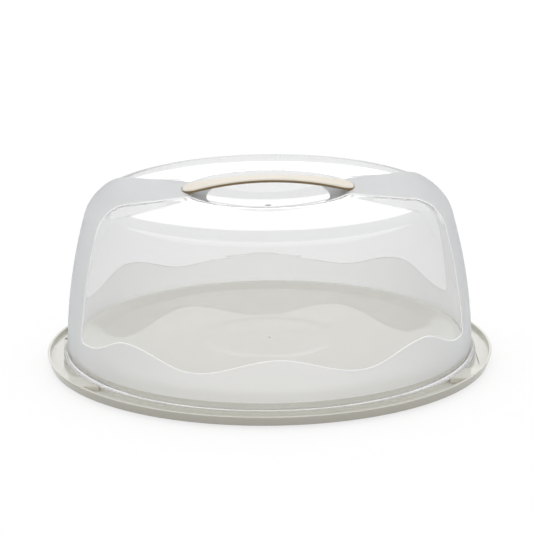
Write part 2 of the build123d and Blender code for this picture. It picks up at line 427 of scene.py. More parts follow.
def new_object(name: str, mesh: Mesh) -> Object:
    """Link a mesh into the scene as an object.

    Args:
        name: The object's name.
        mesh: Its mesh.

    Returns:
        The object.
    """
    piece = bpy.data.objects.new(name, mesh)
    bpy.context.scene.collection.objects.link(piece)
    return piece


def add_node(tree: NodeTree, kind: str, inputs: dict | None = None, **settings: object) -> Node:
    """Add a shader node with its settings, and link or fill its inputs.

    Args:
        tree: The node tree.
        kind: Blender's name for the kind of node, without its ShaderNode prefix.
        inputs: Socket names or numbers to a value, or to the socket or node that feeds them.
        **settings: Attributes of the node itself.

    Returns:
        The new node.
    """
    node = tree.nodes.new("ShaderNode" + kind)
    for key, value in settings.items():
        setattr(node, key, value)
    for key, value in (inputs or {}).items():
        if isinstance(value, Node):
            value = value.outputs[0]
        if isinstance(value, NodeSocket):
            tree.links.new(value, node.inputs[key])
        else:
            node.inputs[key].default_value = value
    return node


def new_material(name: str) -> tuple[Material, NodeTree]:
    """Make an empty node material.

    Args:
        name: Its name.

    Returns:
        The material and its node tree.
    """
    material = bpy.data.materials.new(name)
    material.use_nodes = True
    material.node_tree.nodes.clear()
    return material, material.node_tree


def noise(tree: NodeTree, spot: NodeSocket, size_mm: float, detail: float) -> NodeSocket:
    """Add a noise pattern of a real size and return its value."""
    scale = 1 / (size_mm * MM)
    return add_node(tree, "TexNoise", {"Vector": spot, "Scale": scale, "Detail": detail}).outputs["Fac"]


def bumped(
    tree: NodeTree, height: NodeSocket, depth_mm: float, over: NodeSocket | None = None
) -> NodeSocket:
    """Tilt the surface by a pattern.

    Args:
        tree: The node tree.
        height: The pattern.
        depth_mm: Its real depth.
        over: A coarser bump that it lies on, if there is one.

    Returns:
        The normal.
    """
    inputs = {"Height": height, "Distance": depth_mm * MM, "Strength": 1.0}
    if over is not None:
        inputs["Normal"] = over
    return add_node(tree, "Bump", inputs).outputs["Normal"]


def blended(tree: NodeTree, share: NodeSocket | Node, first: object, second: object) -> NodeSocket:
    """Blend two colours, each a linear colour or a socket, by the second one's share."""
    return add_node(tree, "Mix", {"Factor": share, 6: first, 7: second}, data_type="RGBA").outputs[2]


def larger(tree: NodeTree, first: NodeSocket | Node, second: NodeSocket | Node) -> Node:
    """Add a node that gives the larger of two numbers."""
    return add_node(tree, "Math", {0: first, 1: second}, operation="MAXIMUM")


def eased(
    tree: NodeTree, value: NodeSocket, span: tuple[float, float], to: tuple[float, float]
) -> Node:
    """Ease from one number to another while a value crosses a span.

    Args:
        tree: The node tree.
        value: The value that crosses the span.
        span: Start and end of the span.
        to: The numbers before and after it.

    Returns:
        The node that gives the eased number.
    """
    inputs = {"Value": value, "From Min": span[0], "From Max": span[1], "To Min": to[0], "To Max": to[1]}
    return add_node(tree, "MapRange", inputs, interpolation_type="SMOOTHSTEP")


def shows_background(tree: NodeTree) -> Node:
    """Tell rays that show the plain background from those that gather its light.

    Args:
        tree: The node tree.

    Returns:
        A node that gives 1 for rays that are seen, mirrored or pass through plastic, and otherwise 0.
    """
    path = add_node(tree, "LightPath").outputs
    seen = larger(tree, path["Is Camera Ray"], path["Is Glossy Ray"])
    return larger(tree, seen, path["Is Transmission Ray"])


@dataclass(frozen=True)
class GlossPolypropylene:
    """Cream polypropylene, injection moulded in a polished tool: an even, faintly soft gloss."""

    name: str = "cream_polypropylene_moulded"
    colour: str = "DDDCD4"
    shade: str = "D6D4CB"
    # flank: painted shade, the deeper colour of upright walls that stands in for the shade on them
    flank: str = "CDCABF"
    roughness: float = 0.04
    ior: float = 1.49
    gloss_level: float = 0.25
    peel_mm: float = 4.0
    tone_mm: float = 45.0
    peel_depth_mm: float = 0.002
    painted_shade_rise: tuple[float, float] = (-0.05, 0.2)  # how far a face looks up where the painted shade on upright walls ends

    def make(self) -> Material:
        """Build the material: slow tone drift, painted shade on upright walls, and an orange peel drawn
        coarse enough to show.

        Returns:
            The material.
        """
        material, tree = new_material(self.name)
        spot = add_node(tree, "TexCoord").outputs["Object"]
        tone = noise(tree, spot, self.tone_mm, 2.0)
        colour = blended(tree, tone, linear(self.shade), linear(self.colour))
        # Painted shade: faces that turn from looking up to upright blend to the deeper flank colour, where
        # the walls lie in shade.
        facing = add_node(tree, "NewGeometry").outputs["Normal"]
        rise = add_node(tree, "SeparateXYZ", {0: facing}).outputs["Z"]
        unshaded_share = eased(tree, rise, self.painted_shade_rise, (0.0, 1.0))
        colour = blended(tree, unshaded_share, linear(self.flank), colour)
        peel = bumped(tree, noise(tree, spot, self.peel_mm, 1.0), self.peel_depth_mm)
        gloss = {"Roughness": self.roughness, "IOR": self.ior, "Specular IOR Level": self.gloss_level}
        shader = add_node(tree, "BsdfPrincipled", {"Base Color": colour, "Normal": peel, **gloss})
        add_node(tree, "OutputMaterial", {"Surface": shader})
        return material


@dataclass(frozen=True)
class ClearPlastic:
    """Clear plastic moulded in a mirror-polished tool: see-through, with faint flow waves."""

    name: str = "clear_plastic_polished"
    colour: str = "F4F4F4"
    edge_colour: str = "DADCDD"
    let_through: str = "F6F6F6"
    roughness: float = 0.02
    ior: float = 1.49
    wave_mm: float = 38.0
    wave_depth_mm: float = 0.02
    grain_mm: float = 0.0
    grain_depth_mm: float = 0.0
    milk: float = 0.0
    glow_through: float = 0.0
    slant_blend: float = 0.3

    def make(self) -> Material:
        """Build the material. Lamp and bounce light goes straight through, so the cake space is lit.

        Returns:
            The material.
        """
        material, tree = new_material(self.name)
        spot = add_node(tree, "TexCoord").outputs["Object"]
        normal = bumped(tree, noise(tree, spot, self.wave_mm, 0.0), self.wave_depth_mm)
        if self.grain_mm > 0:
            normal = bumped(tree, noise(tree, spot, self.grain_mm, 1.0), self.grain_depth_mm, normal)
        # A slanting view runs through more plastic, so the walls turn greyer towards the outline.
        slant = add_node(tree, "LayerWeight", {"Blend": self.slant_blend}).outputs["Facing"]
        tint = blended(tree, slant, linear(self.colour), linear(self.edge_colour))
        clarity = {"Roughness": self.roughness, "IOR": self.ior, "Transmission Weight": 1.0 - self.milk}
        skin = add_node(tree, "BsdfPrincipled", {"Base Color": tint, "Normal": normal, **clarity})
        if self.glow_through > 0:
            spread = add_node(tree, "BsdfTranslucent", {"Color": tint, "Normal": normal})
            skin = add_node(tree, "MixShader", {0: self.glow_through, 1: skin, 2: spread})
        passing = add_node(tree, "BsdfTransparent", {"Color": linear(self.let_through)})
        path = add_node(tree, "LightPath").outputs
        lighting = larger(tree, path["Is Shadow Ray"], path["Is Diffuse Ray"])
        mix = add_node(tree, "MixShader", {0: lighting, 1: skin, 2: passing})
        add_node(tree, "OutputMaterial", {"Surface": mix})
        return material


@dataclass(frozen=True)
class FrostedPlastic(ClearPlastic):
    """The same plastic against a spark-eroded tool face: a fine even frost that blurs what is behind.

    The real grain is about 0.1 mm, too fine to show, so it is drawn coarser.
    """

    name: str = "clear_plastic_spark_frosted"
    colour: str = "FFFFFF"
    edge_colour: str = "C0C5CA"
    roughness: float = 0.45
    grain_mm: float = 0.7
    grain_depth_mm: float = 0.02
    milk: float = 0.5
    glow_through: float = 0.1


@dataclass(frozen=True)
class StepEdgePaintedHighlight(ClearPlastic):
    """The shoulder between a window and the frost, drawn opaque white: a painted highlight for the pale line
    the polished step shows.
    """

    name: str = "step_edge_painted_highlight"
    colour: str = "FFFFFF"
    edge_colour: str = "FFFFFF"
    roughness: float = 0.2
    # Opaque white in place of clear plastic: the painted highlight.
    milk: float = 1.0


@dataclass(frozen=True)
class SocketPaintedShade(FrostedPlastic):
    """The frost on the dish's slopes round the strap's ends, drawn grey: painted shade where these slopes
    look dark.
    """

    name: str = "clear_plastic_frosted_painted_shade"
    colour: str = "B9BCBE"
    edge_colour: str = "A8ABAD"


@dataclass(frozen=True)
class SatinPolypropylene(GlossPolypropylene):
    """Beige polypropylene from a finely blasted tool: a satin skin that softens highlights."""

    name: str = "beige_polypropylene_satin"
    colour: str = "E4DDD0"
    shade: str = "DFD7C9"
    # Painted shade: the strap's upright and undercut sides are drawn dark brown for the shade under the bow.
    flank: str = "8A785A"
    roughness: float = 0.4
    peel_mm: float = 0.8
    peel_depth_mm: float = 0.008
    tone_mm: float = 30.0


class DomeZone(IntEnum):
    """Finishes on the dome's skin."""

    CLEAR = 0
    FROSTED = 1
    SEAT = 2
    FOOT = 3
    INSIDE = 4
    STEP_EDGE = 5
    SOCKET = 6


@dataclass
class DomeLid:
    """Clear dome: crowned bell, two level bands over its sides, hand dish and waved skirt."""

    wall: float = 1.8
    foot: tuple[float, float] = (158.5, 13.5)
    middle: tuple[float, float] = (154.0, 70.0)
    corner: tuple[float, float] = (139.6, 132.2)
    bottom_z: float = 8.65
    rim_r: float = 161.9
    rim_top_z: float = 10.6
    frost_end_z: float = 15.6
    crown_z: float = 142.0
    crown_round: float = 14.0
    band_z: float = 139.8
    band_round: float = 28.2
    level_radius: float = 1.0e6  # so large that the bands are level
    shared_z: float = 100.0
    flank: float = 12.0
    step: float = 0.5
    step_width: float = 0.6
    dish: tuple[float, float] = (68.0, 57.0)
    dish_floor_z: float = 126.0
    dish_rim_z: float = 140.3
    dish_round: float = 1.6
    band_round_in: float = 1.2
    band_lean: float = 0.93  # slant at which the band's edge crosses the skin
    dish_share: float = 0.95
    socket_x: float = 42.0
    socket_bow: float = 6.0
    socket_half: float = 24.0
    socket_round: float = 3.0
    corner_round: float = 5.0
    seat_z: float = 137.4
    seat_gap: float = 0.5
    seat_start_x: float = 60.0
    seat_end_x: float = 67.0
    seat_corner: float = 8.5
    gate_radius: float = 1.3
    gate_height: float = 0.5
    wave_span: tuple[float, float] = (60.0, 30.0)  # heights that the skirt's wave stays between
    top_step: float = 1.6
    wall_step: float = 3.0
    wave_step: float = 1.5
    shoulder_rings: int = 20
    skirt_rings: int = 7
    back_rings: tuple[int, int, int] = (24, 16, 50)  # inside: wall, shoulder and top
    turns: int = 480
    # Plan of half a band's edge and front view of half the skirt's wave, as points on smooth curves.
    band_edge: tuple[tuple[float, float], ...] = (
        *((40.0, 16.8), (58.0, 21.6), (75.0, 27.8), (92.0, 34.2), (105.0, 39.0)),
        *((117.0, 42.6), (126.0, 46.2), (134.0, 50.4), (147.0, 57.0), (160.0, 63.5)),
    )
    wave_edge: tuple[tuple[float, float], ...] = ((0.0, 48.6), (64.5, 36.4), (113.0, 49.6), (143.0, 35.6))

    def __post_init__(self) -> None:
        """Work out the arcs of the section from its driving sizes."""
        circle = circle_through(self.foot, self.middle, self.corner)
        self.wall_centre_r, self.wall_centre_z, self.wall_radius = circle
        self.crown_radius = arc_radius(self.corner[0], self.crown_z - self.corner[1])
        self.top_r, self.band_line = self._shoulder(self.band_z, self.level_radius, self.band_round)
        _, self.crown_line = self._shoulder(self.crown_z, self.crown_radius, self.crown_round, self.top_r)
        self.band_half = eased_curve(self.band_edge)
        self.dish_radius = arc_radius(self.dish[1], self.dish_rim_z - self.dish_floor_z)

    def wall_r(self, z: Array) -> Array:
        """Outer radius of the bell's wall at a height."""
        return self.wall_centre_r + np.sqrt(self.wall_radius**2 - (z - self.wall_centre_z) ** 2)

    def _shoulder(
        self, apex_z: float, top_radius: float, round_r: float, start_r: float | None = None
    ) -> tuple[float, Array]:
        """Section line from the top, round the shoulder and down to the shared part of the wall.

        Args:
            apex_z: Height of the top on the axis.
            top_radius: Radius of the top's sphere.
            round_r: Radius of the shoulder.
            start_r: Where the line starts, or None for the shoulder's first point.

        Returns:
            The starting radius, and evenly spaced points down the line.
        """
        top_z = apex_z - top_radius
        far, near = top_radius - round_r, self.wall_radius - round_r
        span = np.array([self.wall_centre_r, self.wall_centre_z - top_z])
        length = np.linalg.norm(span)
        along = (far**2 - near**2 + length**2) / (2 * length)
        across = math.sqrt(far**2 - along**2)
        outward = span / length
        # Of the two crossings, the shoulder's centre is the one outward of the axis.
        centre = outward * along - np.array([-outward[1], outward[0]]) * across + [0, top_z]
        top_way = unit(centre - [0, top_z])
        wall_way = unit(centre - [self.wall_centre_r, self.wall_centre_z])
        tangent_r = float(centre[0] + top_way[0] * round_r)
        first = tangent_r if start_r is None else start_r
        points = []
        if tangent_r - first > TINY:
            r = np.linspace(first, tangent_r, RUN_STEPS)[:-1]
            points += [(a, top_z + math.sqrt(top_radius**2 - a**2)) for a in r]
        start, end = math.atan2(top_way[1], top_way[0]), math.atan2(wall_way[1], wall_way[0])
        for turn in np.linspace(start, end, 2 * RUN_STEPS):
            points.append((centre[0] + round_r * math.cos(turn), centre[1] + round_r * math.sin(turn)))
        low = np.linspace(points[-1][1], self.shared_z, RUN_STEPS)[1:]
        points += list(zip(self.wall_r(low), low))
        line = np.array(points)
        run = np.concatenate([[0], np.cumsum(np.linalg.norm(np.diff(line, axis=0), axis=1))])
        even = np.linspace(0, run[-1], 5 * RUN_STEPS)
        return first, np.stack([np.interp(even, run, line[:, 0]), np.interp(even, run, line[:, 1])], axis=-1)

    def base(self, angle: Array, place: Array, low_z: float) -> Array:
        """The skin before wall thickness and steps.

        Args:
            angle: Angles round the axis.
            place: 0 to 1 across the top, 1 to 2 round the shoulder, 2 to 3 down the wall.
            low_z: Height of the wall at 3.

        Returns:
            Points, with x, y and z last.
        """
        top = np.clip(place, 0, 1) * self.top_r
        share = np.clip(place - 1, 0, 1) * (len(self.crown_line) - 1)
        steps = np.arange(len(self.crown_line))
        lines = (self.crown_line, self.band_line)
        crown, band = ([np.interp(share, steps, line[:, k]) for k in (0, 1)] for line in lines)
        crown_top = self.crown_z - self.crown_radius + np.sqrt(self.crown_radius**2 - top**2)
        rise = smooth_max(self.band_z - crown_top, np.zeros_like(top), self.band_round_in)
        wall_z = self.shared_z + np.clip(place - 2, 0, 1) * (low_z - self.shared_z)
        r = np.where(place < 1, top, crown[0])
        cos, sin = np.cos(angle), np.sin(angle)
        for _ in range(SETTLE_PASSES):
            x, y = r * cos, r * sin
            outside = np.abs(y) - self.band_half(np.abs(x))
            share_up = 1 - smooth_step(outside / self.flank)
            r = np.where(place < 1, top, crown[0] + share_up * (band[0] - crown[0]))
        z = np.where(place < 1, crown_top + share_up * rise, crown[1] + share_up * (band[1] - crown[1]))
        r = np.where(place < 2, r, self.wall_r(wall_z))
        z = np.where(place < 2, z, wall_z)
        x, y = r * cos, r * sin
        oval = self.dish[1] * np.hypot(x / self.dish[0], y / self.dish[1])
        inside = np.sqrt(np.maximum(self.dish_radius**2 - oval**2, 1.0))
        bowl = self.dish_floor_z + self.dish_radius - inside
        bowl = bowl + self.gate_height * np.exp(-((r / self.gate_radius) ** 4))
        z = np.where(place < 1, smooth_min(z, bowl, self.dish_round), z)
        return np.stack([x, y, z], axis=-1)

    def normal(self, angle: Array, place: Array, low_z: float) -> Array:
        """Find which way the base skin faces.

        Args:
            angle: Angles round the axis.
            place: Places on the skin, as base takes them.
            low_z: Height of the wall at 3.

        Returns:
            Outward unit normals.
        """
        inner = np.maximum(place, POLE)
        across, down = differences(lambda a, v: self.base(a, v, low_z), angle, inner, TURN_NUDGE)
        out = np.cross(down, across)
        out /= np.maximum(np.linalg.norm(out, axis=-1, keepdims=True), 1e-12)
        out[place < POLE] = (0, 0, 1)
        return out

    def _outside(self, angle: Array, station: Array) -> list[Array]:
        """The outer skin's x, y and z, before steps."""
        point = self.base(angle, np.clip(station, 0, 3), self.foot[1])
        return [point[..., k] for k in range(3)]

    def frost_field(self, angle: Array, station: Array) -> Array:
        """Measure how far points are inside the frosted zone.

        Args:
            angle: Angles round the axis.
            station: Stations on the outer skin.

        Returns:
            Millimetres, negative in the clear windows.
        """
        x, y, z = self._outside(angle, station)
        x, y = np.abs(x), np.abs(y)
        band = (self.band_half(x) - y) * self.band_lean
        places, heights = np.array(self.wave_edge).T
        k = np.clip(np.searchsorted(places, x, side="right") - 1, 0, len(places) - 2)
        t = np.clip((x - places[k]) / (places[k + 1] - places[k]), 0, 1)
        wave = heights[k] + (heights[k + 1] - heights[k]) * (1 - np.cos(math.pi * t)) / 2
        skirt = wave - z
        on_wall = smooth_max(band, skirt, self.corner_round)
        inside = self.dish_field(angle, station)
        socket_edge = self.socket_x + self.socket_bow * (1 - (y / self.socket_half) ** 2)
        socket = smooth_min(x - socket_edge, self.socket_half - y, self.socket_round)
        on_top = np.maximum(np.minimum(band, -inside), np.minimum(socket, inside))
        return np.where(station < 1, on_top, on_wall)

    def dish_field(self, angle: Array, station: Array) -> Array:
        """Millimetres into the hand dish's oval, just inside its rounded rim."""
        x, y, _ = self._outside(angle, station)
        return (self.dish_share - np.hypot(x / self.dish[0], y / self.dish[1])) * self.dish[1]

    def seat_field(self, angle: Array, station: Array) -> Array:
        """Measure how far points are inside the recess round either end of the strap.

        Args:
            angle: Angles round the axis.
            station: Stations on the outer skin.

        Returns:
            Millimetres, negative outside it.
        """
        x, y, _ = self._outside(angle, station)
        x, y = np.abs(x), np.abs(y)
        size = self.seat_corner + self.seat_gap
        side = GripStrap().half_width(x) + self.seat_gap
        over_x = x - (self.seat_end_x + self.seat_gap - size)
        over_y = y - (side - size)
        outer = np.hypot(np.maximum(over_x, 0), np.maximum(over_y, 0))
        edge = size - outer - np.minimum(np.maximum(over_x, over_y), 0)
        return np.where(station < 1, np.minimum(edge, x - self.seat_start_x), OUTSIDE)

    def rim_path(self) -> Array:
        """Draw the section of the flared foot and the flat rim, from the wall down to the inner edge.

        Returns:
            Radii and heights along it.
        """
        # Each corner's radius, height and rounding.
        corners = [
            (self.foot[0] + self.step, self.foot[1], 0.0),
            (self.foot[0] + self.step + 0.05, self.rim_top_z + 1.9, 2.0),
            (self.rim_r - 1.3, self.rim_top_z, 1.2),
            (self.rim_r, self.rim_top_z, 0.45),
            (self.rim_r, self.bottom_z, 0.35),
            (self.foot[0] - self.wall, self.bottom_z, 0.0),
        ]
        return rounded_path(corners, 3)

    def place(self, angle: Array, station: Array, zone: int) -> Array:
        """Points of the finished skin.

        Args:
            angle: Angles round the axis.
            station: 0 to 3 over the outside, 3 to 4 round the rim, 4 to 7 back up the inside.
            zone: The DomeZone that the points belong to.

        Returns:
            Points in millimetres.
        """
        upper = np.clip(station, 0, 3)
        shifted, at = angle, upper
        if zone in (DomeZone.FROSTED, DomeZone.SOCKET):
            shifted, at = self._step_in(angle, upper)
        lift = 0.0 if zone == DomeZone.CLEAR else self.step
        outer = self.base(shifted, at, self.foot[1]) + self.normal(shifted, at, self.foot[1]) * lift
        if zone == DomeZone.SEAT:
            outer[..., 2] = np.minimum(outer[..., 2], self.seat_z)
        rim = self.rim_path()
        share = np.clip(station - 3, 0, 1) * (len(rim) - 1)
        rim_r, rim_z = (np.interp(share, np.arange(len(rim)), rim[:, k]) for k in (0, 1))
        on_rim = np.stack([rim_r * np.cos(angle), rim_r * np.sin(angle), rim_z], axis=-1)
        back = np.clip(7 - station, 0, 3)
        inner = self.base(angle, back, self.bottom_z) - self.normal(angle, back, self.bottom_z) * self.wall
        inner[station >= 4, 2] = np.where(back[station >= 4] >= 3, self.bottom_z, inner[station >= 4, 2])
        out = np.where((station < 3)[..., None], outer, on_rim)
        return np.where((station > 4)[..., None], inner, out)

    def _step_in(self, angle: Array, place: Array) -> tuple[Array, Array]:
        """Move points that lie on the frosted zone's edge a little into it, so that its riser slopes.

        Args:
            angle: Angles round the axis.
            place: Places on the outer skin.

        Returns:
            The new angles and places.
        """
        value = self.frost_field(angle, place)
        start, end = SLOPED_SPAN
        on = (np.abs(value) < EDGE_REACH) & (place > start) & (place < end)
        slopes = [step / (2 * EDGE_NUDGE) for step in differences(self.frost_field, angle, place, EDGE_NUDGE)]
        skin = differences(lambda a, v: self.base(a, v, self.foot[1]), angle, place, EDGE_NUDGE)
        sizes = [np.maximum(np.linalg.norm(step, axis=-1) / (2 * EDGE_NUDGE), TINY) for step in skin]
        way_a, way_v = (slope / size for slope, size in zip(slopes, sizes))
        length = np.maximum(np.hypot(way_a, way_v), TINY)
        move = np.where(on, self.step_width, 0.0)
        return angle + move * way_a / length / sizes[0], place + move * way_v / length / sizes[1]

    def zone_of(self, side: Array, station: Array) -> Array:
        """Sort faces into zones.

        Args:
            side: The signs of the frost, seat and dish fields on each face.
            station: Each face's middle station.

        Returns:
            The DomeZone of each face.
        """
        zone = np.where(side[0] > 0, DomeZone.FROSTED, DomeZone.CLEAR)
        zone = np.where((side[0] > 0) & (side[2] > 0) & (station < 1), DomeZone.SOCKET, zone)
        zone = np.where((side[1] > 0) & (station < 1), DomeZone.SEAT, zone)
        zone = np.where(station > self.frost_end, DomeZone.FOOT, zone)
        return np.where(station > 4, DomeZone.INSIDE, zone)

    def build(self, finishes: dict[DomeZone, Material]) -> Object:
        """Make the dome's skin, inside and out, and dress it.

        Args:
            finishes: The material of each zone.

        Returns:
            The dome.
        """
        # Finer rings round the gate mark in the middle, coarser steps where the wall is plain.
        gate = [0, 0.6, 1.2, 1.8, 2.6]
        rings = np.arange(gate[-1] + self.top_step, self.top_r - self.top_step / 2, self.top_step)
        top = np.concatenate([gate, rings]) / self.top_r
        shoulder = 1 + np.linspace(0, 1, self.shoulder_rings, endpoint=False)
        drop = self.shared_z - self.foot[1]
        high, low = self.wave_span
        skirt = np.linspace(low, self.frost_end_z, self.skirt_rings)
        upper, wave = np.arange(self.shared_z, high, -self.wall_step), np.arange(high, low, -self.wave_step)
        heights = np.concatenate([upper, wave, skirt])
        wall = 2 + (self.shared_z - heights) / drop
        self.frost_end = wall[-1]
        rim_count = len(self.rim_path()) - 1
        rim = 3 + np.arange(rim_count + 1) / rim_count
        back = [start + np.linspace(0, 1, count)[1:] for start, count in enumerate(self.back_rings, 4)]
        stations = np.concatenate([top, shoulder, wall, rim, *back])
        sheet = PolarSheet(self.turns, stations)
        sheet.cut(lambda a, v: np.where(v < 3, self.frost_field(a, v), -OUTSIDE))
        sheet.cut(lambda a, v: np.where(v < 3, self.seat_field(a, v), OUTSIDE))
        sheet.cut(lambda a, v: np.where(v < 1, self.dish_field(a, v), OUTSIDE))
        piece = sheet.build("dome_skin", self.place, self.zone_of, DomeZone.STEP_EDGE)
        for zone in DomeZone:
            piece.data.materials.append(finishes[zone])
        return piece


@dataclass
class GripStrap:
    """Bowed strap across the hand dish, with a foot and a barbed clip under each end."""

    half_x: float = 67.0
    end_z: float = 141.2
    top_z: float = 149.1
    thickness: float = 3.0
    waist_half: float = 7.0
    waist_radius: float = 400.0
    waist_x: float = 54.0
    corner: float = 8.5
    edge_round: float = 1.1
    under_inset: float = 0.3
    under_round: float = 0.2
    seat_z: float = 137.4
    foot_x: tuple[float, float] = (61.2, 66.2)
    foot_half: float = 6.5
    clip_x: tuple[float, float] = (62.4, 64.8)
    clip_half: float = 5.0
    clip_bottom_z: float = 132.0
    clip_barb: float = 1.2
    clip_top_z: float = 135.3
    barb_rise: float = 1.6
    foot_rise: float = 1.6
    foot_lean: float = 0.9  # how much higher the foot starts on its inner side, under the bow
    across: int = 8
    side_points: int = 64
    cap_points: int = 10
    edge_points: int = 5
    sharp_degrees: float = 50.0

    def half_width(self, x: Array) -> Array:
        """Half width of the strap, before its ends are rounded.

        Args:
            x: Distance from the strap's middle.

        Returns:
            The half width there.
        """
        near = np.minimum(np.abs(x), self.waist_x)
        curve = self.waist_half + self.waist_radius - np.sqrt(self.waist_radius**2 - near**2)
        slope = self.waist_x / math.sqrt(self.waist_radius**2 - self.waist_x**2)
        return curve + slope * (np.abs(x) - near)

    def outline(self, inset: float) -> Array:
        """Half outline on +Y from end to end.

        Args:
            inset: How far inside the true outline.

        Returns:
            Points with x and y last.
        """
        size = self.corner - inset
        end = self.half_x - inset
        side_y = float(self.half_width(np.array(self.half_x - self.corner))) - inset
        x = np.linspace(-(self.half_x - self.corner), self.half_x - self.corner, self.side_points)
        side = np.stack([x, self.half_width(x) - inset], axis=-1)
        turn = np.linspace(0, math.pi / 2, self.cap_points)[1:]
        cap = np.stack([end - size + size * np.sin(turn), side_y - size + size * np.cos(turn)], axis=-1)
        left = cap[::-1] * [-1, 1]
        return np.concatenate([left, side, cap])

    def bent(self, x: Array, y: Array, depth: Array) -> Array:
        """Bend flat points to the bow of the strap.

        Args:
            x: Distance from the strap's middle.
            y: Distance across the strap.
            depth: Depth under its top face.

        Returns:
            Points, with x, y and z last.
        """
        radius = arc_radius(self.half_x, self.top_z - self.end_z)
        turn = np.arcsin(x / radius)
        arm = radius - depth
        return np.stack([arm * np.sin(turn), y, self.top_z - radius + arm * np.cos(turn)], axis=-1)

    def build(self, finish: Material) -> list[Object]:
        """Make the strap and its two clips, and dress them.

        Args:
            finish: The strap's material.

        Returns:
            The strap first, then its clips.
        """
        pieces = [self._strap()] + [self._clip(side) for side in (-1, 1)]
        for piece in pieces:
            piece.data.materials.append(finish)
        return pieces

    def _strap(self) -> Object:
        """Build the bowed strap as rings of its outline, joined across its top and bottom.

        Returns:
            The strap.
        """
        size = self.edge_round
        turns = np.linspace(0, math.pi / 2, self.edge_points)
        levels = [(size * (1 - math.sin(t)), size * (1 - math.cos(t))) for t in turns]
        levels.append((self.under_inset, self.thickness - self.under_round))
        levels.append((self.under_inset + self.under_round, self.thickness))
        rings = []
        for inset, depth in levels:
            half = self.outline(inset)
            ring = np.concatenate([half, (half * [1, -1])[::-1]])
            rings.append(self.bent(ring[:, 0], ring[:, 1], np.full(len(ring), depth)))
        count = len(rings[0])
        points = list(np.concatenate(rings))
        faces = []
        for k, n in np.ndindex(len(rings) - 1, count):
            here, below, m = k * count, (k + 1) * count, (n + 1) % count
            faces.append([here + n, here + m, below + m, below + n])
        half_count = count // 2
        for ring, depth, flip in ((0, 0.0, True), (len(rings) - 1, self.thickness, False)):
            base = ring * count
            rows = [[base + n for n in range(half_count)]]
            flat = self.outline(levels[ring][0])
            for step in range(1, self.across):
                share = 1 - 2 * step / self.across
                row = self.bent(flat[:, 0], flat[:, 1] * share, np.full(half_count, depth))
                rows.append([len(points) + n for n in range(half_count)])
                points += list(row)
            rows.append([base + count - 1 - n for n in range(half_count)])
            for upper, lower in zip(rows[:-1], rows[1:]):
                for n in range(half_count - 1):
                    quad = [upper[n], upper[n + 1], lower[n + 1], lower[n]]
                    faces.append(quad[::-1] if flip else quad)
        mesh = bpy.data.meshes.new("grip_strap_body")
        mesh.from_pydata([tuple(p * MM) for p in points], [], faces)
        tidy_mesh(mesh, self.sharp_degrees)
        return new_object("grip_strap_body", mesh)

    def _clip(self, side: int) -> Object:
        """Build the foot and barbed clip under one end.

        Args:
            side: -1 for the left end and 1 for the right.

        Returns:
            The clip.
        """
        low, high = self.clip_x
        top = self.seat_z + self.foot_rise
        clip = [
            (low, top),
            (low, self.clip_bottom_z),
            (high, self.clip_bottom_z),
            (high + self.clip_barb, self.clip_bottom_z + self.barb_rise),
            (high + self.clip_barb, self.clip_top_z),
            (high, self.clip_top_z),
            (high, top),
        ]
        inner, outer = self.foot_x
        foot = [(inner, top + self.foot_lean), (inner, self.seat_z), (outer, self.seat_z), (outer, top)]
        points: list[tuple[float, float, float]] = []
        faces: list[list[int]] = []
        for section, half in ((clip, self.clip_half), (foot, self.foot_half)):
            start, count = len(points), len(section)
            points += [(side * x, -half, z) for x, z in section] + [(side * x, half, z) for x, z in section]
            faces.append(list(range(start, start + count)))
            faces.append(list(range(start + 2 * count - 1, start + count - 1, -1)))
            for n in range(count):
                m = (n + 1) % count
                faces.append([start + n, start + count + n, start + count + m, start + m])
        mesh = bpy.data.meshes.new("clip")
        mesh.from_pydata([tuple(c * MM for c in p) for p in points], [], [f[::-side] for f in faces])
        tidy_mesh(mesh)
        return new_object("strap_clip_" + ("left" if side < 0 else "right"), mesh)


class TrayZone(IntEnum):
    """Levels round the tray's edge."""

    PLAIN = 0
    SHELF = 1
    LUG = 2


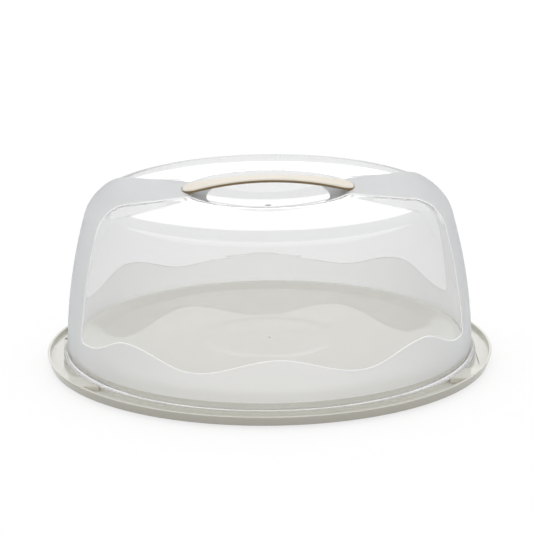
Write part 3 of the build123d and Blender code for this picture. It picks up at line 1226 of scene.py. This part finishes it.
@dataclass
class ServingTray:
    """Serving tray: raised plate, seat and trough for the lid, lugs and side flanges."""

    plate_z: float = 18.8
    plate_rim_z: float = 21.2
    seat_z: float = 8.6
    lip_z: float = 10.0
    lip_r: float = 172.9
    lip_reach: float = 0.1  # how near the lip's inner corner a point of the section counts as on it
    skirt_z: float = 2.5
    web_z: float = 3.8
    wall: float = 2.0
    middle_drop: float = 0.5
    shelf_z: float = 6.8
    trough_z: float = 5.8
    lug_inner_r: float = 162.2
    lug_end_y: float = 90.7
    notch_y: float = 48.0
    lip_end_y: float = 65.0
    pocket_x: float = 161.8
    fine_span: tuple[float, float] = (159.0, 173.5)  # radii where the zones are cut
    fine_over_z: float = 5.0
    fine_step: float = 1.3
    plain_step: float = 6.0
    turns: int = 480

    def section(self) -> Array:
        """Draw the section from the middle of the plate, out round the lip and back underneath.

        Returns:
            Radii and heights along it.
        """
        middle_z = self.plate_z - self.middle_drop
        # Each corner's radius, height and rounding.
        corners = [
            (0.0, self.plate_z, 0.0),
            (0.9, self.plate_z, 0.2),
            (1.3, middle_z, 0.2),
            (47.0, middle_z, 60.0),
            (55.0, self.plate_z, 60.0),
            (132.0, self.plate_z, 24.0),
            (146.6, self.plate_rim_z, 2.0),
            (150.6, self.plate_rim_z, 1.5),
            (154.2, self.seat_z, 0.6),
            (159.6, self.seat_z, 0.3),
            (160.0, self.trough_z, 0.5),
            (171.9, self.trough_z, 0.5),
            (self.lip_r, self.lip_z, 0.35),
            (175.0, self.lip_z, 0.5),
            (172.6, self.skirt_z, 0.4),
            (170.6, self.skirt_z, 0.4),
            (171.0, self.web_z, 0.4),
            (151.0, self.web_z, 0.5),
            (150.6, 0.0, 0.4),
            (148.4, 0.0, 0.4),
            (148.4, 18.7, 0.8),
            (132.0, self.plate_z - self.wall, 12.0),
            (51.0, self.plate_z - self.wall, 0.3),
            (50.5, middle_z - self.wall, 0.3),
            (0.0, middle_z - self.wall, 0.0),
        ]
        start, end = self.fine_span

        def longest(point: Array) -> float:
            """Finer steps where the zones are cut."""
            fine = start < point[0] < end and point[1] > self.fine_over_z
            return self.fine_step if fine else self.plain_step

        return divided(rounded_path(corners, 4), longest)

    def shelf_field(self, angle: Array, station: Array) -> Array:
        """Measure how far points are inside the side shelves and lugs.

        Args:
            angle: Angles round the axis.
            station: Stations along the section.

        Returns:
            Millimetres, negative outside them.
        """
        r, _ = self._at(station)
        x, y = np.abs(r * np.cos(angle)), np.abs(r * np.sin(angle))
        pocket = np.maximum(x - self.pocket_x, y - self.notch_y)
        edge = np.minimum(np.minimum(r - self.lug_inner_r, self.lug_end_y - y), pocket)
        return np.where(station < self.lip_station, edge, OUTSIDE)

    def lug_field(self, angle: Array, station: Array) -> Array:
        """Millimetres from the shelves' level into the lugs."""
        r, _ = self._at(station)
        return np.abs(r * np.sin(angle)) - self.lip_end_y

    def _at(self, station: Array) -> tuple[Array, Array]:
        """Radius and height of the plain section at a station."""
        steps = np.arange(len(self.path))
        return np.interp(station, steps, self.path[:, 0]), np.interp(station, steps, self.path[:, 1])

    def place(self, angle: Array, station: Array, zone: int) -> Array:
        """Points of the finished tray.

        Args:
            angle: Angles round the axis.
            station: Stations along the section.
            zone: The TrayZone that the points belong to.

        Returns:
            Points in millimetres.
        """
        r, z = self._at(station)
        if zone == TrayZone.LUG:
            z = np.full_like(z, self.lip_z)
        if zone == TrayZone.SHELF:
            z = np.maximum(z, self.shelf_z)
        return np.stack([r * np.cos(angle), r * np.sin(angle), z], axis=-1)

    def zone_of(self, side: Array, station: Array) -> Array:
        """Zone of each face from its field signs."""
        high = np.where(side[1] > 0, TrayZone.LUG, TrayZone.SHELF)
        return np.where((side[0] > 0) & (station < self.lip_station), high, TrayZone.PLAIN)

    def build(self, finish: Material) -> Object:
        """Make the tray and dress it.

        Args:
            finish: The tray's material.

        Returns:
            The tray.
        """
        self.path = self.section()
        r, z = self.path.T
        reach = np.flatnonzero((r >= self.lip_r - self.lip_reach) & (z >= self.lip_z - self.lip_reach))
        self.lip_station = float(reach[0]) + 0.5
        sheet = PolarSheet(self.turns, np.arange(len(self.path), dtype=float))
        sheet.cut(self.shelf_field)
        sheet.cut(lambda a, v: np.where(self.shelf_field(a, v) > -0.01, self.lug_field(a, v), OUTSIDE))
        piece = sheet.build("tray_moulding", self.place, self.zone_of)
        piece.data.materials.append(finish)
        piece.data.polygons.foreach_set("material_index", [0] * len(piece.data.polygons))
        return piece


class Softbox(Enum):
    """The studio's lamps: shape, size in metres, place, aim and power in watts."""

    OVERHEAD = ("RECTANGLE", (2.2, 1.6), (0.0, 0.9, 1.9), (0.0, 0.0, 0.0), 6.0)
    BACK_PANEL = ("ELLIPSE", (0.96, 1.39), (0.12, 3.0, 1.03), (0.0, 0.0, 0.13), 2.8)


def aimed(place: Sequence[float], target: Sequence[float]) -> Matrix:
    """Rotation that turns a lamp or lens from its place to a target."""
    return (Vector(target) - Vector(place)).to_track_quat("-Z", "Y").to_matrix()


@dataclass
class Studio:
    """Plain white floor, soft lamps and the camera."""

    floor_size: float = 14.0
    floor_colour: str = "868686"
    floor_glow: float = 0.77
    sky_low: float = 1.65
    sky_high: float = 0.5
    sky_span: tuple[float, float] = (0.1, 1.0)
    backdrop: float = 1.0
    behind_span: tuple[float, float] = (0.15, 0.7)
    camera_place: tuple[float, float, float] = (-0.11546, -2.87459, 0.91054)
    camera_target: tuple[float, float, float] = (0.0, 0.0, 0.06)
    camera_roll_degrees: float = -0.55
    lens_mm: float = 258.1
    sensor_mm: float = 36.0
    shift: tuple[float, float] = (-0.0048, 0.03726)

    def build(self) -> None:
        """Set up the floor, the world, the lamps and the camera."""
        self._floor()
        self._world()
        for lamp in Softbox:
            self._lamp(lamp)
        self._camera()

    def _floor(self) -> None:
        """Floor that reads as paper white where it is seen and still holds the carrier's shadow."""
        half = self.floor_size / 2
        mesh = bpy.data.meshes.new("studio_floor")
        corners = [(-half, -half, 0), (half, -half, 0), (half, half, 0), (-half, half, 0)]
        mesh.from_pydata(corners, [], [(0, 1, 2, 3)])
        floor = new_object("studio_floor", mesh)
        material, tree = new_material("white_paper_sweep")
        paper = add_node(tree, "BsdfDiffuse", {"Color": linear(self.floor_colour)})
        glow = add_node(tree, "Emission", {"Color": WHITE, "Strength": self.floor_glow})
        dark = add_node(tree, "Emission", {"Strength": 0.0})
        seen = shows_background(tree)
        lit = add_node(tree, "MixShader", {0: seen, 1: dark, 2: glow})
        both = add_node(tree, "AddShader", {0: paper, 1: lit})
        add_node(tree, "OutputMaterial", {"Surface": both})
        floor.data.materials.append(material)

    def _world(self) -> None:
        """White surroundings where they are seen, and a sky that gives more light near the horizon."""
        world = bpy.data.worlds.new("white_studio")
        bpy.context.scene.world = world
        world.use_nodes = True
        tree = world.node_tree
        tree.nodes.clear()
        way = add_node(tree, "SeparateXYZ", {0: add_node(tree, "TexCoord").outputs["Generated"]}).outputs
        sky = eased(tree, way["Z"], self.sky_span, (self.sky_low, self.sky_high))
        behind = eased(tree, way["Y"], self.behind_span, (0.0, self.backdrop))
        sky = larger(tree, sky, behind)
        level = add_node(tree, "Mix", {0: shows_background(tree), 2: sky, 3: 1.0})
        light = add_node(tree, "Background", {"Color": WHITE, "Strength": level})
        add_node(tree, "OutputWorld", {"Surface": light})

    def _lamp(self, lamp: Softbox) -> None:
        """Hang one softbox and aim it.

        Args:
            lamp: Which one.
        """
        shape, size, place, target, power = lamp.value
        data = bpy.data.lights.new(lamp.name.lower(), "AREA")
        data.shape = shape
        data.size, data.size_y = size
        data.energy = power
        light = bpy.data.objects.new(lamp.name.lower(), data)
        light.location = place
        light.rotation_euler = aimed(place, target).to_euler()
        bpy.context.scene.collection.objects.link(light)

    def _camera(self) -> None:
        """Place the long lens at the front, a little above the tray."""
        data = bpy.data.cameras.new("studio_camera")
        data.lens = self.lens_mm
        data.sensor_width = self.sensor_mm
        data.shift_x, data.shift_y = self.shift
        camera = bpy.data.objects.new("studio_camera", data)
        camera.location = self.camera_place
        turn = Matrix.Rotation(math.radians(self.camera_roll_degrees), 3, "Z")
        camera.rotation_euler = (aimed(self.camera_place, self.camera_target) @ turn).to_euler()
        bpy.context.scene.collection.objects.link(camera)
        bpy.context.scene.camera = camera


def main() -> None:
    """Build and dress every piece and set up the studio."""
    logging.basicConfig(level=logging.INFO, format="%(name)s: %(message)s")
    bpy.context.scene.view_settings.view_transform = "Standard"
    clear = ClearPlastic().make()
    frosted = FrostedPlastic().make()
    finishes = {
        DomeZone.CLEAR: clear,
        DomeZone.FROSTED: frosted,
        DomeZone.SEAT: frosted,
        DomeZone.FOOT: clear,
        DomeZone.INSIDE: clear,
        # The risers carry a painted highlight: opaque white where the real step is clear plastic.
        DomeZone.STEP_EDGE: StepEdgePaintedHighlight().make(),
        # The dish's slopes round the strap's ends get painted shade: a grey frost.
        DomeZone.SOCKET: SocketPaintedShade().make(),
    }
    tray = ServingTray().build(GlossPolypropylene().make())
    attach(tray, "tray")
    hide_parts("tray")
    dome = DomeLid().build(finishes)
    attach(dome, "lid")
    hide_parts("dome")
    strap = GripStrap().build(SatinPolypropylene().make())
    for piece in strap:
        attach(piece, "lid")
    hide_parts("grip_strap")
    for piece in [tray, dome] + strap:
        LOG.info("%s: %d faces", piece.name, len(piece.data.polygons))
    Studio().build()


if __name__ == "__main__":
    main()
